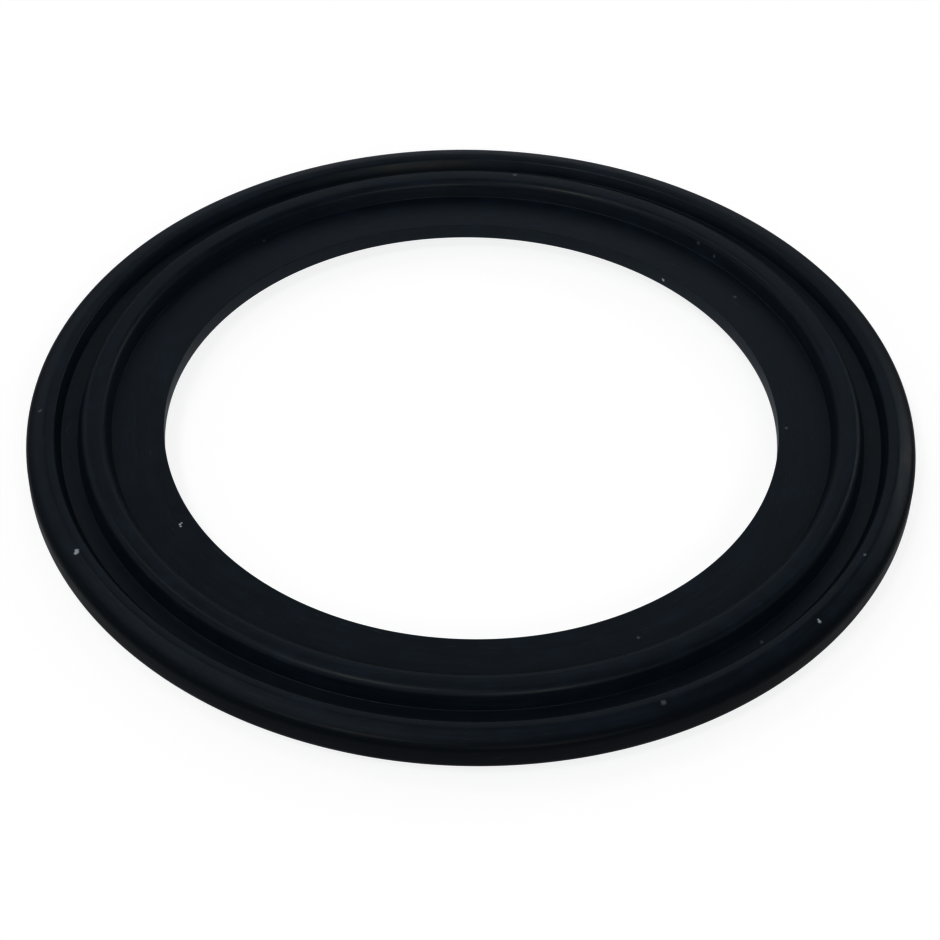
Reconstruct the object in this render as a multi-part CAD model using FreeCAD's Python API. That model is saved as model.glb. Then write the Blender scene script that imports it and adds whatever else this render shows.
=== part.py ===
# Flange gasket: a flat moulded rubber ring that seals a hygienic clamp joint between two flanges.
# One piece, the same on both faces. From the bore outwards it has a thin flat web, a raised sealing bead
# that seats in the groove of each flange, a narrow valley, and a rim that rises steeply out of the valley
# to a nearly flat crest and tapers away to a rounded edge.
# Frame: millimetres, +Z along the axis of the ring, origin at its centre, halfway through its thickness.

import FreeCAD, Part

import math
import os

# Widths, from the bore outwards. Together they put the middle of the bead on a 42.85 circle and the
# outer edge on a 50.5 circle, which are the groove and the outside of the flange.
bore_diameter = 35.05
web_width = 2.94
bead_flank_width = 0.33
bead_crest_width = 1.255
valley_width = 0.945
rim_flank_width = 0.34
rim_crest_width = 0.54
rim_taper_width = 1.045

# Thicknesses, from face to face. The valley and the crest of the rim both rise a little outwards.
web_thickness = 0.96
bead_thickness = 2.9
valley_inner_thickness = 0.73
valley_outer_thickness = 0.79
rim_crest_inner_thickness = 2.12
rim_crest_outer_thickness = 2.22
rim_edge_thickness = 1.44

# Roundings
bore_edge_radius = 0.03
bead_root_radius = 0.06
bead_shoulder_radius = 0.45
rim_root_radius = 0.08
rim_inner_shoulder_radius = 0.2
rim_outer_shoulder_radius = 0.5
rim_edge_radius = 0.5

# The most of a straight side that the rounding at one of its ends may take
rounding_share = 0.48

# Radii from the axis
bore_radius = bore_diameter / 2
bead_inner_foot = bore_radius + web_width
bead_crest_inner = bead_inner_foot + bead_flank_width
bead_crest_outer = bead_crest_inner + bead_crest_width
bead_outer_foot = bead_crest_outer + bead_flank_width
rim_foot = bead_outer_foot + valley_width
rim_crest_inner = rim_foot + rim_flank_width
rim_crest_outer = rim_crest_inner + rim_crest_width
outer_radius = rim_crest_outer + rim_taper_width


def upper_corners():
    """Corners of the upper half of the section from the bore outwards, each as radius, height, rounding."""
    web_top = web_thickness / 2
    bead_top = bead_thickness / 2
    return [
        (bore_radius, web_top, bore_edge_radius),
        (bead_inner_foot, web_top, bead_root_radius),
        (bead_crest_inner, bead_top, bead_shoulder_radius),
        (bead_crest_outer, bead_top, bead_shoulder_radius),
        (bead_outer_foot, valley_inner_thickness / 2, bead_root_radius),
        (rim_foot, valley_outer_thickness / 2, rim_root_radius),
        (rim_crest_inner, rim_crest_inner_thickness / 2, rim_inner_shoulder_radius),
        (rim_crest_outer, rim_crest_outer_thickness / 2, rim_outer_shoulder_radius),
        (outer_radius, rim_edge_thickness / 2, rim_edge_radius),
    ]


def lower_corners():
    """The lower half mirrors the upper one, taken from the outside back to the bore."""
    return [(radius, -height, rounding) for radius, height, rounding in reversed(upper_corners())]


def corner_arc(before, corner, after, rounding):
    """Start, middle and end of the arc that rounds a corner between two straight sides."""
    side_before = before - corner
    side_after = after - corner
    shorter_side = min(side_before.Length, side_after.Length)
    half_angle = side_before.getAngle(side_after) / 2
    setback = min(rounding / math.tan(half_angle), rounding_share * shorter_side)
    radius = setback * math.tan(half_angle)
    side_before.normalize()
    side_after.normalize()
    inwards = (side_before + side_after).normalize()
    centre = corner + inwards * (radius / math.sin(half_angle))
    start = corner + side_before * setback
    middle = centre - inwards * radius
    end = corner + side_after * setback
    return start, middle, end


def rounded_wire(corners):
    """Closed wire of straight runs and tangent arcs through a list of corners."""
    points = [FreeCAD.Vector(radius, 0, height) for radius, height, rounding in corners]
    count = len(corners)
    arcs = []
    for index in range(count):
        before = points[index - 1]
        after = points[(index + 1) % count]
        arcs.append(corner_arc(before, points[index], after, corners[index][2]))
    edges = []
    for index in range(count):
        start, middle, end = arcs[index]
        next_start = arcs[(index + 1) % count][0]
        edges.append(Part.Arc(start, middle, end).toShape())
        edges.append(Part.LineSegment(end, next_start).toShape())
    return Part.Wire(edges)


def make_gasket():
    """The ring: its rounded section turned once about the axis."""
    section = Part.Face(rounded_wire(upper_corners() + lower_corners()))
    return section.revolve(FreeCAD.Vector(0, 0, 0), FreeCAD.Vector(0, 0, 1), 360)


os.makedirs("parts", exist_ok=True)
gasket = make_gasket()
gasket.exportStep("parts/gasket.step")
print("gasket", gasket.ShapeType, "valid", gasket.isValid(), "volume", round(gasket.Volume, 2))
print("outside diameter", round(2 * outer_radius, 3), "bead circle", round(bead_crest_inner + bead_crest_outer, 3))
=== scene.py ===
import math

import bmesh
import bpy
from mathutils import Matrix, Vector


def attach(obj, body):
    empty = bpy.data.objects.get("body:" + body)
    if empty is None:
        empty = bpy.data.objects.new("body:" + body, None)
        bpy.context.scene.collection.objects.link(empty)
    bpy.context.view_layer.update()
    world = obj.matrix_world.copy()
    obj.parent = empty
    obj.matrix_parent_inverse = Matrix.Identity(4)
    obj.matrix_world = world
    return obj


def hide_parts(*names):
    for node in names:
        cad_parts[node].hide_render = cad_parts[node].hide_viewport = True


# A moulded rubber ring for a hygienic clamp joint, lying on a pale table in a soft studio.
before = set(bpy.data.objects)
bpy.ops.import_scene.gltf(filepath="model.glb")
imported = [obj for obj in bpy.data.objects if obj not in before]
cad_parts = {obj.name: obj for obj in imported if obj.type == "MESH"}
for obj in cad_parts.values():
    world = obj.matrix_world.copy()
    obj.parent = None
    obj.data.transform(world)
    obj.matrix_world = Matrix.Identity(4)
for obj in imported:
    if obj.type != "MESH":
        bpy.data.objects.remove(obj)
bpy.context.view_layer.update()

# Sizes are in millimetres until they reach Blender, which works in metres.
MM = 0.001

# Widths of the ring from the bore outwards, as in the part's source
BORE_DIAMETER = 35.05
WEB_WIDTH = 2.94
BEAD_FLANK_WIDTH = 0.33
BEAD_CREST_WIDTH = 1.255
VALLEY_WIDTH = 0.945
RIM_FLANK_WIDTH = 0.34
RIM_CREST_WIDTH = 0.54
RIM_TAPER_WIDTH = 1.045

# Thicknesses, from face to face
WEB_THICKNESS = 0.96
BEAD_THICKNESS = 2.9
VALLEY_INNER_THICKNESS = 0.73
VALLEY_OUTER_THICKNESS = 0.79
RIM_CREST_INNER_THICKNESS = 2.12
RIM_CREST_OUTER_THICKNESS = 2.22
RIM_EDGE_THICKNESS = 1.44

# Roundings
BORE_EDGE_RADIUS = 0.03
BEAD_ROOT_RADIUS = 0.06
BEAD_SHOULDER_RADIUS = 0.45
RIM_ROOT_RADIUS = 0.08
RIM_INNER_SHOULDER_RADIUS = 0.2
RIM_OUTER_SHOULDER_RADIUS = 0.5
RIM_EDGE_RADIUS = 0.5

# Radii from the axis
BORE_RADIUS = BORE_DIAMETER / 2
BEAD_INNER_FOOT = BORE_RADIUS + WEB_WIDTH
BEAD_CREST_INNER = BEAD_INNER_FOOT + BEAD_FLANK_WIDTH
BEAD_CREST_OUTER = BEAD_CREST_INNER + BEAD_CREST_WIDTH
BEAD_OUTER_FOOT = BEAD_CREST_OUTER + BEAD_FLANK_WIDTH
RIM_FOOT = BEAD_OUTER_FOOT + VALLEY_WIDTH
RIM_CREST_INNER = RIM_FOOT + RIM_FLANK_WIDTH
RIM_CREST_OUTER = RIM_CREST_INNER + RIM_CREST_WIDTH
OUTER_RADIUS = RIM_CREST_OUTER + RIM_TAPER_WIDTH

# Corners of the upper half of the section: radius, height and the rounding of the corner
UPPER_CORNERS = [
    (BORE_RADIUS, WEB_THICKNESS / 2, BORE_EDGE_RADIUS),
    (BEAD_INNER_FOOT, WEB_THICKNESS / 2, BEAD_ROOT_RADIUS),
    (BEAD_CREST_INNER, BEAD_THICKNESS / 2, BEAD_SHOULDER_RADIUS),
    (BEAD_CREST_OUTER, BEAD_THICKNESS / 2, BEAD_SHOULDER_RADIUS),
    (BEAD_OUTER_FOOT, VALLEY_INNER_THICKNESS / 2, BEAD_ROOT_RADIUS),
    (RIM_FOOT, VALLEY_OUTER_THICKNESS / 2, RIM_ROOT_RADIUS),
    (RIM_CREST_INNER, RIM_CREST_INNER_THICKNESS / 2, RIM_INNER_SHOULDER_RADIUS),
    (RIM_CREST_OUTER, RIM_CREST_OUTER_THICKNESS / 2, RIM_OUTER_SHOULDER_RADIUS),
    (OUTER_RADIUS, RIM_EDGE_THICKNESS / 2, RIM_EDGE_RADIUS),
]
ROUNDING_STEPS = 6
TURN_STEPS = 480
MERGE_DISTANCE = 0.0001

# Colours of the rubber. Its mirrored light is a little warm, its body bluish.
DARK_RUBBER = (0.0092, 0.0237, 0.041, 1)
LIGHT_RUBBER = (0.03, 0.0757, 0.131, 1)
# Painted shade for the outer edge: a darker colour standing in for the ring's shadow on the table, which that
# edge mirrors.
EDGE_SHADE_COLOUR = (0.008, 0.018, 0.031, 1)
DUST_COLOUR = (0.62, 0.67, 0.71, 1)
MIRROR_TINT = (1.0, 0.91, 0.77, 1)

# How strongly the rubber mirrors light on its faces and on its outer edge, which is dulled there as painted
# shade, and where that painted shade starts
RUBBER_IOR = 1.5
FACE_SHINE = 0.75
EDGE_SHINE = 0.34
EDGE_SHADE_INNER = 24.6

# How matt the rubber is, over the range of its unevenness
UNEVEN_RANGE = (0.1, 0.4)
ROUGHNESS_RANGE = (0.37, 0.47)

# Patterns in the rubber. A scale is how many waves there are in a metre.
CLOUD_SCALE = 700
CLOUD_DETAIL = 5
STREAK_SCALE = 5200
SCUFF_SCALE = 14000
STREAK_DETAIL = 2
GRAIN_SCALE = 7000
GRAIN_DETAIL = 3
GRAIN_DEPTH = 0.02
GRAIN_STRENGTH = 0.25

# Streaks and scuffs run round the ring, because a turn of one radian counts as no more than this distance.
STREAK_TURN = 1.3

# Scuffs begin at the lower bound of their noise, and are this pale from the upper one on.
SCUFF_RANGE = (0.66, 0.8)
SCUFF_PALENESS = 0.08

# Specks of dust: radius, angle from +X in degrees, height, size and how pale each is.
# The largest specks are made of two or three that touch.
DUST_SPECKS = [
    (24.29, 210.28, 1.08, 0.26, 0.72),
    (24.39, 210.5, 1.04, 0.24, 0.72),
    (24.3, 210.52, 1.08, 0.22, 0.66),
    (24.46, 318.75, 1.02, 0.17, 0.66),
    (24.56, 318.66, 0.98, 0.2, 0.72),
    (18.28, 210.83, 0.48, 0.13, 0.84),
    (18.4, 211.05, 0.48, 0.14, 0.84),
    (18.43, 211.46, 0.48, 0.13, 0.84),
    (24.11, 332.0, 1.1, 0.19, 0.4),
    (19.36, 297.5, 0.48, 0.22, 0.24),
    (23.09, 311.8, 0.39, 0.22, 0.24),
    (24.31, 294.3, 1.07, 0.3, 0.24),
    (17.53, 48.8, -0.06, 0.21, 0.72),
    (20.59, 44.6, 0.85, 0.22, 0.2),
    (20.67, 48.4, 1.08, 0.22, 0.2),
    (19.24, 35.0, 0.48, 0.24, 0.2),
    (21.71, 83.6, 1.45, 0.3, 0.2),
    (17.97, 357.9, 0.48, 0.22, 0.22),
    (20.28, 130.0, 0.48, 0.24, 0.14),
    (24.55, 182.5, 0.98, 0.26, 0.2),
]

# A speck is solid out to the first share of its size and gone at the second, and its outline is ragged.
SPECK_CORE = 0.3
SPECK_REACH = 0.65
RAGGED_SCALE = 9000
RAGGED_DETAIL = 1
RAGGED_DEPTH = 0.14

# The table top, on which the ring lies with its lower bead
FLOOR_HEIGHT = -BEAD_THICKNESS / 2
FLOOR_RADIUS = 2500
FLOOR_SIDES = 64
FLOOR_COLOUR = (0.12, 0.12, 0.12, 1)
FLOOR_GLOW = 0.9

# Brightness of the surroundings at each elevation in degrees, and the share it gains towards +X and +Y
DOME_LEVELS = [
    (0, 0.25), (7.5, 0.231), (15, 0.178), (22.5, 2.064), (30, 0.366), (37.5, 0.186),
    (45, 0.157), (52.5, 0.245), (60, 0.333), (75, 0.546), (89, 0.643),
]
DOME_SLOPE = (-0.23, 0.02)

# Soft round panels: azimuth from +X, elevation and half of the angle that they fill, in degrees, and radiance
PANELS = {
    "far_panel": (86, 35, 13.6, 0.96),
    "right_panel": (42, 26, 6.8, 5.89),
    "overhead_panel": (228, 60, 6.8, 16.14),
    "near_panel": (289, 33, 9.5, 6.53),
    "left_panel": (142, 56, 6.8, 6.13),
}
PANEL_DISTANCE = 1000

# The camera: its place, how far it looks down and is rolled in degrees, its lens, and how near it sees
CAMERA_PLACE = (-0.03, -106.54, 96.6)
CAMERA_LOWERED = 43.341
CAMERA_ROLLED = 1.194
CAMERA_LENS = 96.02
CAMERA_SENSOR = 36
CAMERA_NEAR = 1

# A gamma of one half squares each displayed value, which gives the deep blacks of the photograph.
DISPLAY_GAMMA = 1 / 2.0


def corner_setback(before, corner, after, rounding):
    """How far from a corner its rounding starts along both sides."""
    half_angle = (before - corner).angle(after - corner) / 2
    return rounding / math.tan(half_angle)


def draw_section(mesh):
    """The closed section of the ring in the XZ plane, with every corner rounded."""
    lower_corners = [(radius, -height, rounding) for radius, height, rounding in reversed(UPPER_CORNERS)]
    corners = UPPER_CORNERS + lower_corners
    vertices = [mesh.verts.new((radius * MM, 0, height * MM)) for radius, height, _ in corners]
    places = [vertex.co.copy() for vertex in vertices]
    mesh.faces.new(vertices)
    for index, (_, _, rounding) in enumerate(corners):
        before = places[index - 1]
        after = places[(index + 1) % len(places)]
        setback = corner_setback(before, places[index], after, rounding * MM)
        bmesh.ops.bevel(
            mesh, geom=[vertices[index]], offset=setback, offset_type="OFFSET", affect="VERTICES",
            segments=ROUNDING_STEPS, profile=0.5, material=-1, clamp_overlap=False,
        )
    bmesh.ops.delete(mesh, geom=mesh.faces[:], context="FACES_ONLY")


def link_mesh(name, mesh):
    """Hand a finished mesh over to an object of its own in the scene."""
    data = bpy.data.meshes.new(name)
    mesh.to_mesh(data)
    mesh.free()
    piece = bpy.data.objects.new(name, data)
    bpy.context.scene.collection.objects.link(piece)
    return piece


def make_ring():
    """The moulded ring, its section turned once round the axis."""
    mesh = bmesh.new()
    draw_section(mesh)
    bmesh.ops.spin(
        mesh, geom=mesh.verts[:] + mesh.edges[:], cent=(0, 0, 0), axis=(0, 0, 1),
        angle=2 * math.pi, steps=TURN_STEPS, use_merge=True,
    )
    bmesh.ops.remove_doubles(mesh, verts=mesh.verts, dist=MERGE_DISTANCE * MM)
    bmesh.ops.recalc_face_normals(mesh, faces=mesh.faces)
    for face in mesh.faces:
        face.smooth = True
    ring = link_mesh("moulded_ring", mesh)
    weighted = ring.modifiers.new("even_normals", "WEIGHTED_NORMAL")
    weighted.mode = "FACE_AREA"
    return ring


def feed(tree, socket, value):
    """Give an input a plain value, or link it where the value is another node's output."""
    if isinstance(value, bpy.types.NodeSocket):
        tree.links.new(value, socket)
    else:
        socket.default_value = value


def math_step(tree, operation, *values):
    """One step of arithmetic on numbers."""
    step = tree.nodes.new("ShaderNodeMath")
    step.operation = operation
    for socket, value in zip(step.inputs, values):
        feed(tree, socket, value)
    return step.outputs["Value"]


def vector_step(tree, operation, *values):
    """One step of arithmetic on vectors, of which a length or a distance is a number."""
    step = tree.nodes.new("ShaderNodeVectorMath")
    step.operation = operation
    for socket, value in zip(step.inputs, values):
        feed(tree, socket, value)
    return step.outputs["Value" if operation in ("LENGTH", "DISTANCE") else "Vector"]


def noise(tree, place, scale, detail):
    """Soft random pattern, as a node with its strength and its colour."""
    pattern = tree.nodes.new("ShaderNodeTexNoise")
    pattern.inputs["Scale"].default_value = scale
    pattern.inputs["Detail"].default_value = detail
    tree.links.new(place, pattern.inputs["Vector"])
    return pattern


def fade(tree, value, start, end, kind="LINEAR"):
    """Carry a value from one range to another. Start and end are pairs: what comes in, and what goes out."""
    step = tree.nodes.new("ShaderNodeMapRange")
    step.interpolation_type = kind
    step.inputs["From Min"].default_value = start[0]
    step.inputs["From Max"].default_value = end[0]
    step.inputs["To Min"].default_value = start[1]
    step.inputs["To Max"].default_value = end[1]
    tree.links.new(value, step.inputs["Value"])
    return step.outputs["Result"]


def blended(tree, share, first, second):
    """The first colour, with a share of the second laid over it."""
    step = tree.nodes.new("ShaderNodeMix")
    step.data_type = "RGBA"
    tree.links.new(share, step.inputs["Factor"])
    feed(tree, step.inputs["A"], first)
    feed(tree, step.inputs["B"], second)
    return step.outputs["Result"]


def distance_from_axis(tree, place):
    """How far each spot is from the axis of the ring."""
    flattened = vector_step(tree, "MULTIPLY", place, (1, 1, 0))
    return vector_step(tree, "LENGTH", flattened)


def round_the_ring(tree, place, distance):
    """The place of a spot, unrolled: distance from the axis, a shortened way round the ring, and height."""
    parts = tree.nodes.new("ShaderNodeSeparateXYZ")
    tree.links.new(place, parts.inputs["Vector"])
    turn = math_step(tree, "ARCTAN2", parts.outputs["Y"], parts.outputs["X"])
    shortened = math_step(tree, "MULTIPLY", turn, STREAK_TURN * MM)
    unrolled = tree.nodes.new("ShaderNodeCombineXYZ")
    tree.links.new(distance, unrolled.inputs["X"])
    tree.links.new(shortened, unrolled.inputs["Y"])
    tree.links.new(parts.outputs["Z"], unrolled.inputs["Z"])
    return unrolled.outputs["Vector"]


def spread_dust(tree, place):
    """How much dust covers each spot, from 0 to 1: small ragged specks at the listed places."""
    pattern = noise(tree, place, RAGGED_SCALE, RAGGED_DETAIL).outputs["Color"]
    centred = vector_step(tree, "SUBTRACT", pattern, (0.5, 0.5, 0.5))
    depth = RAGGED_DEPTH * MM
    ragged = vector_step(tree, "MULTIPLY_ADD", centred, (depth, depth, depth), place)
    dust = None
    for radius, angle, height, size, paleness in DUST_SPECKS:
        turn = math.radians(angle)
        middle = Vector((radius * math.cos(turn), radius * math.sin(turn), height)) * MM
        away = vector_step(tree, "DISTANCE", ragged, middle)
        core = SPECK_CORE * size * MM
        reach = SPECK_REACH * size * MM
        speck = fade(tree, away, (core, paleness), (reach, 0), "SMOOTHSTEP")
        dust = speck if dust is None else math_step(tree, "MAXIMUM", dust, speck)
    return dust


def fine_grain(tree, place):
    """The slight roughness of a moulded face, as its normal."""
    relief = tree.nodes.new("ShaderNodeBump")
    relief.inputs["Strength"].default_value = GRAIN_STRENGTH
    relief.inputs["Distance"].default_value = GRAIN_DEPTH * MM
    grain = noise(tree, place, GRAIN_SCALE, GRAIN_DETAIL).outputs["Fac"]
    tree.links.new(grain, relief.inputs["Height"])
    return relief.outputs["Normal"]


def black_rubber():
    """Semi-matt bluish black rubber, a little cloudy and streaked, scuffed and dusty, with painted shade
    darkening and dulling its outer edge.
    """
    material = bpy.data.materials.new("black_rubber")
    material.use_nodes = True
    tree = material.node_tree
    shader = tree.nodes["Principled BSDF"]
    shader.inputs["IOR"].default_value = RUBBER_IOR
    shader.inputs["Specular Tint"].default_value = MIRROR_TINT
    place = tree.nodes.new("ShaderNodeTexCoord").outputs["Object"]
    distance = distance_from_axis(tree, place)
    unrolled = round_the_ring(tree, place, distance)

    # Each is a share from 0 to 1: the painted shade of the outer edge, the unevenness of the rubber, and dust
    # with the scuffs.
    edge_shade_share = fade(tree, distance, (EDGE_SHADE_INNER * MM, 0), (OUTER_RADIUS * MM, 1), "SMOOTHSTEP")
    clouds = noise(tree, place, CLOUD_SCALE, CLOUD_DETAIL).outputs["Fac"]
    streaks = noise(tree, unrolled, STREAK_SCALE, STREAK_DETAIL).outputs["Fac"]
    uneven = math_step(tree, "MULTIPLY", clouds, streaks)
    rubbed = noise(tree, unrolled, SCUFF_SCALE, STREAK_DETAIL).outputs["Fac"]
    scuffs = fade(tree, rubbed, (SCUFF_RANGE[0], 0), (SCUFF_RANGE[1], SCUFF_PALENESS))
    dust = math_step(tree, "MAXIMUM", scuffs, spread_dust(tree, place))

    moulded = blended(tree, uneven, DARK_RUBBER, LIGHT_RUBBER)
    # Painted shade: towards the outer edge the colour darkens and the shine drops, standing in for the shaded
    # table that the edge mirrors.
    shaded_edge_colour = blended(tree, edge_shade_share, moulded, EDGE_SHADE_COLOUR)
    dusty = blended(tree, dust, shaded_edge_colour, DUST_COLOUR)
    shine = fade(tree, edge_shade_share, (0, FACE_SHINE), (1, EDGE_SHINE))
    matt = fade(
        tree, uneven, (UNEVEN_RANGE[0], ROUGHNESS_RANGE[0]), (UNEVEN_RANGE[1], ROUGHNESS_RANGE[1])
    )
    tree.links.new(dusty, shader.inputs["Base Color"])
    tree.links.new(shine, shader.inputs["Specular IOR Level"])
    tree.links.new(math_step(tree, "MAXIMUM", matt, dust), shader.inputs["Roughness"])
    tree.links.new(fine_grain(tree, place), shader.inputs["Normal"])
    return material


def pale_floor():
    """Matt near-white table top."""
    material = bpy.data.materials.new("pale_floor")
    material.use_nodes = True
    shader = material.node_tree.nodes["Principled BSDF"]
    shader.inputs["Base Color"].default_value = FLOOR_COLOUR
    shader.inputs["Roughness"].default_value = 1.0
    shader.inputs["Specular IOR Level"].default_value = 0.0
    shader.inputs["Emission Color"].default_value = (1, 1, 1, 1)
    shader.inputs["Emission Strength"].default_value = FLOOR_GLOW
    return material


def make_floor():
    """The round table top, so wide that its edge doesn't show."""
    mesh = bmesh.new()
    bmesh.ops.create_circle(mesh, cap_ends=True, segments=FLOOR_SIDES, radius=FLOOR_RADIUS * MM)
    bmesh.ops.translate(mesh, vec=(0, 0, FLOOR_HEIGHT * MM), verts=mesh.verts)
    floor = link_mesh("floor", mesh)
    floor.data.materials.append(pale_floor())


def soft_panel(name, azimuth, elevation, spread, radiance):
    """A round soft panel that faces the ring. A disc lamp of this power has the radiance all over."""
    radius = PANEL_DISTANCE * MM * math.tan(math.radians(spread))
    light = bpy.data.lights.new(name, "AREA")
    light.shape = "DISK"
    light.size = 2 * radius
    light.energy = radiance * math.pi * math.pi * radius ** 2
    panel = bpy.data.objects.new(name, light)
    turn = math.radians(azimuth)
    rise = math.radians(elevation)
    away = Vector((math.cos(turn) * math.cos(rise), math.sin(turn) * math.cos(rise), math.sin(rise)))
    panel.location = away * (PANEL_DISTANCE * MM)
    panel.rotation_euler = away.to_track_quat("Z", "Y").to_euler()
    bpy.context.scene.collection.objects.link(panel)


def studio_dome():
    """Soft surroundings, with a bright band some 22 degrees up, and a little brighter on the left."""
    world = bpy.data.worlds.new("studio_dome")
    bpy.context.scene.world = world
    world.use_nodes = True
    tree = world.node_tree
    background = tree.nodes["Background"]
    background.inputs["Color"].default_value = (1, 1, 1, 1)
    direction = tree.nodes.new("ShaderNodeTexCoord").outputs["Generated"]
    parts = tree.nodes.new("ShaderNodeSeparateXYZ")
    tree.links.new(direction, parts.inputs["Vector"])

    # The new ramp has a stop at each end: the lower one is used, and the upper one goes.
    levels = tree.nodes.new("ShaderNodeValToRGB")
    stops = levels.color_ramp.elements
    for elevation, level in DOME_LEVELS:
        rise = math.sin(math.radians(elevation))
        stop = stops[0] if rise == 0 else stops.new(rise)
        stop.color = (level, level, level, 1)
    stops.remove(stops[-1])
    tree.links.new(parts.outputs["Z"], levels.inputs["Fac"])

    sideways = math_step(tree, "MULTIPLY_ADD", parts.outputs["X"], DOME_SLOPE[0], 1.0)
    slope = math_step(tree, "MULTIPLY_ADD", parts.outputs["Y"], DOME_SLOPE[1], sideways)
    strength = math_step(tree, "MULTIPLY", levels.outputs["Color"], slope)
    tree.links.new(strength, background.inputs["Strength"])


def light_studio():
    """The surroundings and the panels."""
    studio_dome()
    for name, (azimuth, elevation, spread, radiance) in PANELS.items():
        soft_panel(name, azimuth, elevation, spread, radiance)


def place_camera():
    """Camera at the height, tilt and angle of view of the photograph."""
    lowered = math.radians(CAMERA_LOWERED)
    rolled = math.radians(CAMERA_ROLLED)
    data = bpy.data.cameras.new("camera")
    data.sensor_width = CAMERA_SENSOR
    data.lens = CAMERA_LENS
    data.clip_start = CAMERA_NEAR * MM
    camera = bpy.data.objects.new("camera", data)
    right = Vector((1, 0, 0))
    forward = Vector((0, math.cos(lowered), -math.sin(lowered)))
    upward = Vector((0, math.sin(lowered), math.cos(lowered)))
    turned_right = right * math.cos(rolled) + upward * math.sin(rolled)
    turned_up = upward * math.cos(rolled) - right * math.sin(rolled)
    placed = Matrix((turned_right, turned_up, -forward)).transposed().to_4x4()
    placed.translation = Vector(CAMERA_PLACE) * MM
    camera.matrix_world = placed
    bpy.context.scene.collection.objects.link(camera)
    bpy.context.scene.camera = camera


place_camera()
light_studio()
make_floor()
bpy.context.scene.view_settings.view_transform = "Standard"
bpy.context.scene.view_settings.gamma = DISPLAY_GAMMA

ring = make_ring()
ring.data.materials.append(black_rubber())
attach(ring, "root")
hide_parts("gasket")
